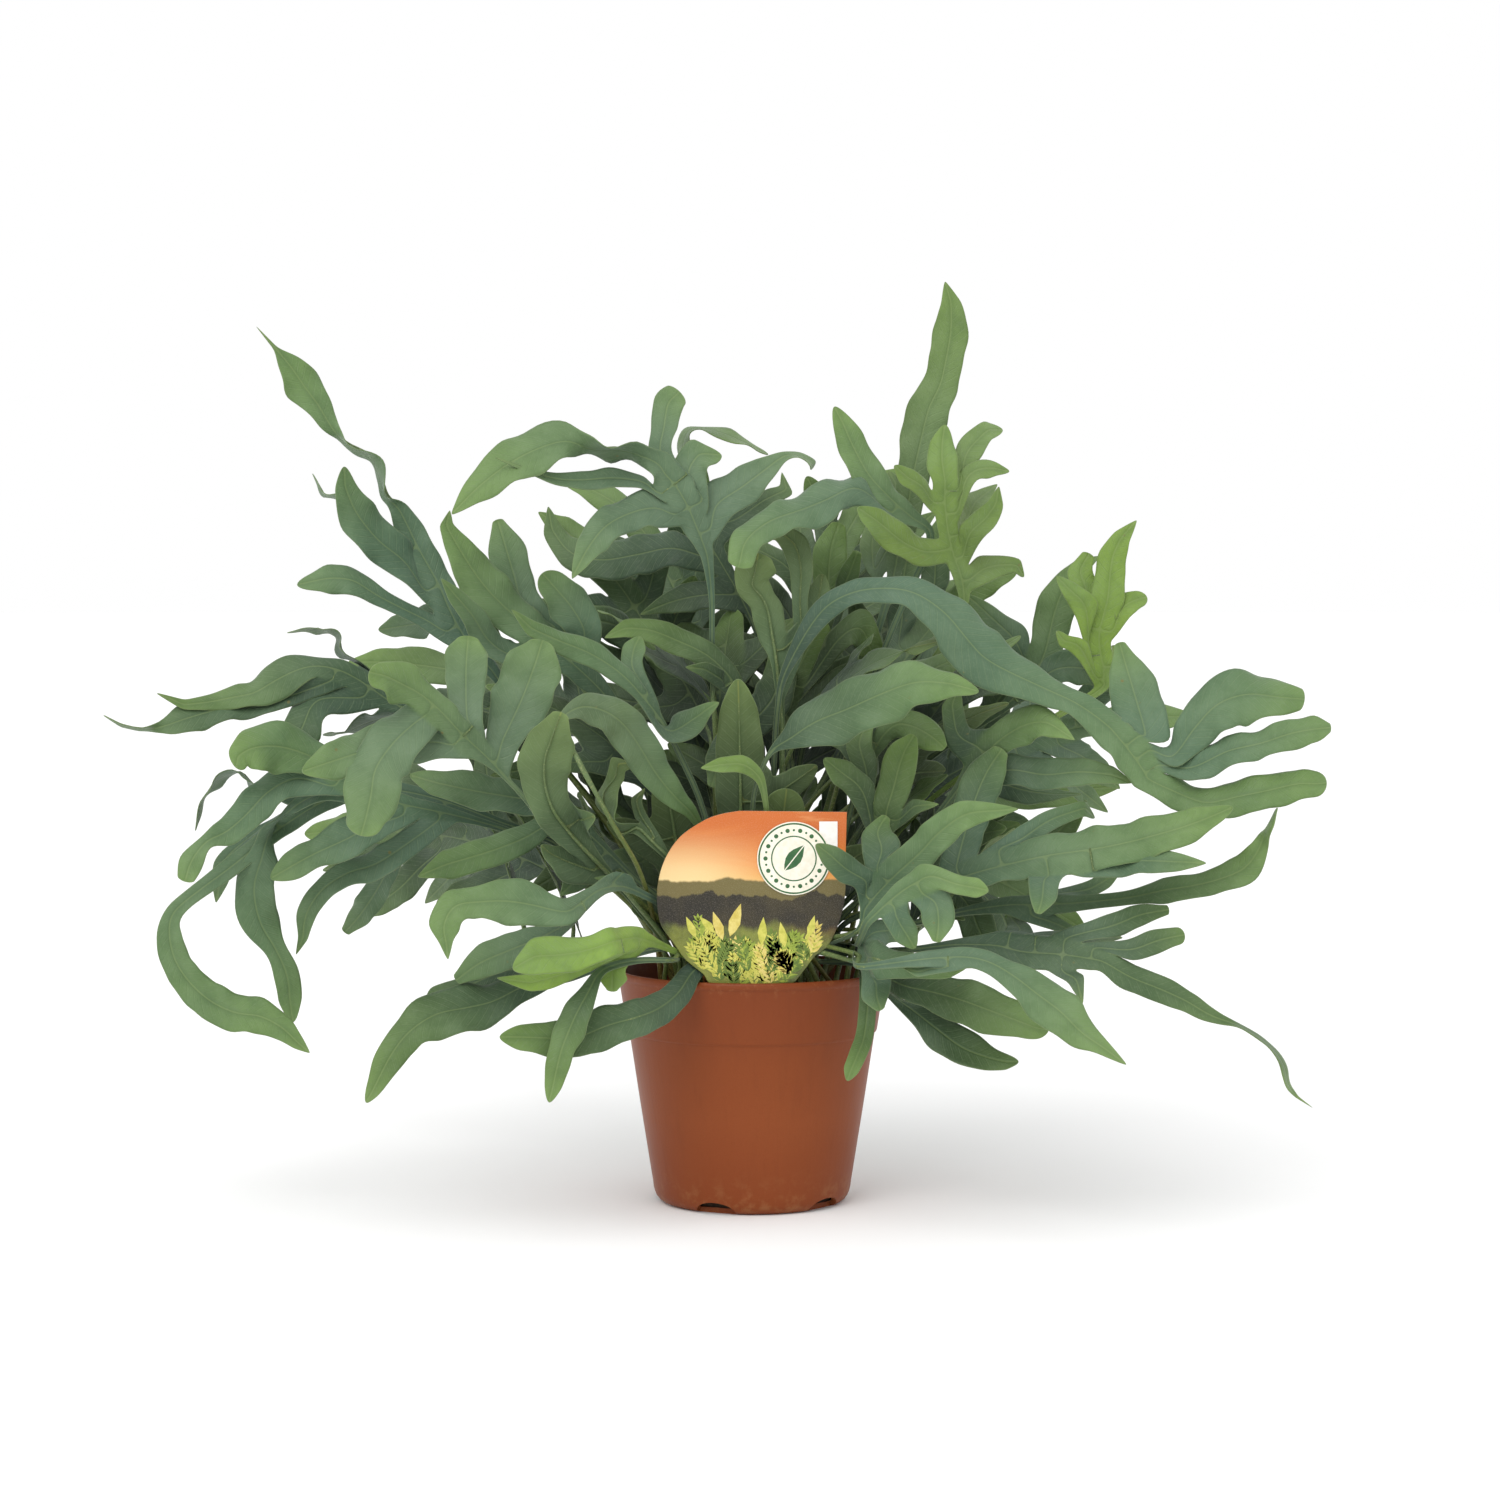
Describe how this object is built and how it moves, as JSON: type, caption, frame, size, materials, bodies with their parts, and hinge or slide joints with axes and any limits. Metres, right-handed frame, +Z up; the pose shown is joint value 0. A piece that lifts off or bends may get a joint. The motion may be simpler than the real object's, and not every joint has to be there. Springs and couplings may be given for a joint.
{
  "type": "potted fern",
  "caption": "Blue-green polypody fern with long, deeply lobed, wavy-edged fronds on slim arching stalks, in a round nursery pot with a plant label.",
  "frame": {"origin": "centre of the pot's underside, on the surface it stands on", "axes": "+Z up, +X to the right along the plant's widest spread, -Y towards the front, where the label stands"},
  "size_m": [0.5193, 0.3506, 0.4085],
  "materials": {
    "pot": "satin",
    "potting_mix": "matte",
    "rhizome": "matte",
    "label": "satin",
    "badge": "satin",
    "leaf": "satin",
    "leaf_pale": "satin",
    "leaf_young": "satin",
    "leaf_dark": "satin"
  },
  "bodies": {
    "root": {"pot": "pot", "potting_mix": "potting_mix", "rhizome_1": "rhizome", "rhizome_2": "rhizome", "rhizome_3": "rhizome", "label": "label", "label_badge": "badge", "frond_01": "leaf", "frond_02": "leaf_dark", "frond_03": "leaf", "frond_04": "leaf", "frond_05": "leaf_pale", "frond_06": "leaf_pale", "frond_07": "leaf_dark", "frond_08": "leaf_pale", "frond_09": "leaf", "frond_10": "leaf_pale", "frond_11": "leaf_pale", "frond_12": "leaf", "frond_13": "leaf", "frond_14": "leaf_pale", "frond_15": "leaf_young", "frond_16": "leaf_dark", "frond_17": "leaf_dark", "frond_18": "leaf_dark", "frond_19": "leaf_pale", "frond_20": "leaf_young", "frond_21": "leaf_pale", "frond_22": "leaf", "frond_23": "leaf_young", "frond_24": "leaf", "frond_25": "leaf", "frond_26": "leaf_dark", "frond_27": "leaf", "frond_28": "leaf", "frond_29": "leaf", "frond_30": "leaf", "frond_31": "leaf_dark", "frond_32": "leaf_pale", "frond_33": "leaf_dark", "frond_34": "leaf", "frond_35": "leaf_dark", "frond_36": "leaf_pale", "frond_37": "leaf_dark", "frond_38": "leaf_dark", "frond_39": "leaf", "frond_40": "leaf", "frond_41": "leaf", "frond_42": "leaf_young", "frond_43": "leaf_dark", "frond_44": "leaf_dark", "frond_45": "leaf_dark", "frond_46": "leaf_dark", "frond_47": "leaf", "frond_48": "leaf_dark", "frond_49": "leaf_dark", "frond_50": "leaf_dark", "frond_51": "leaf_dark", "frond_52": "leaf_dark", "frond_53": "leaf_dark"}
  },
  "joints": []
}
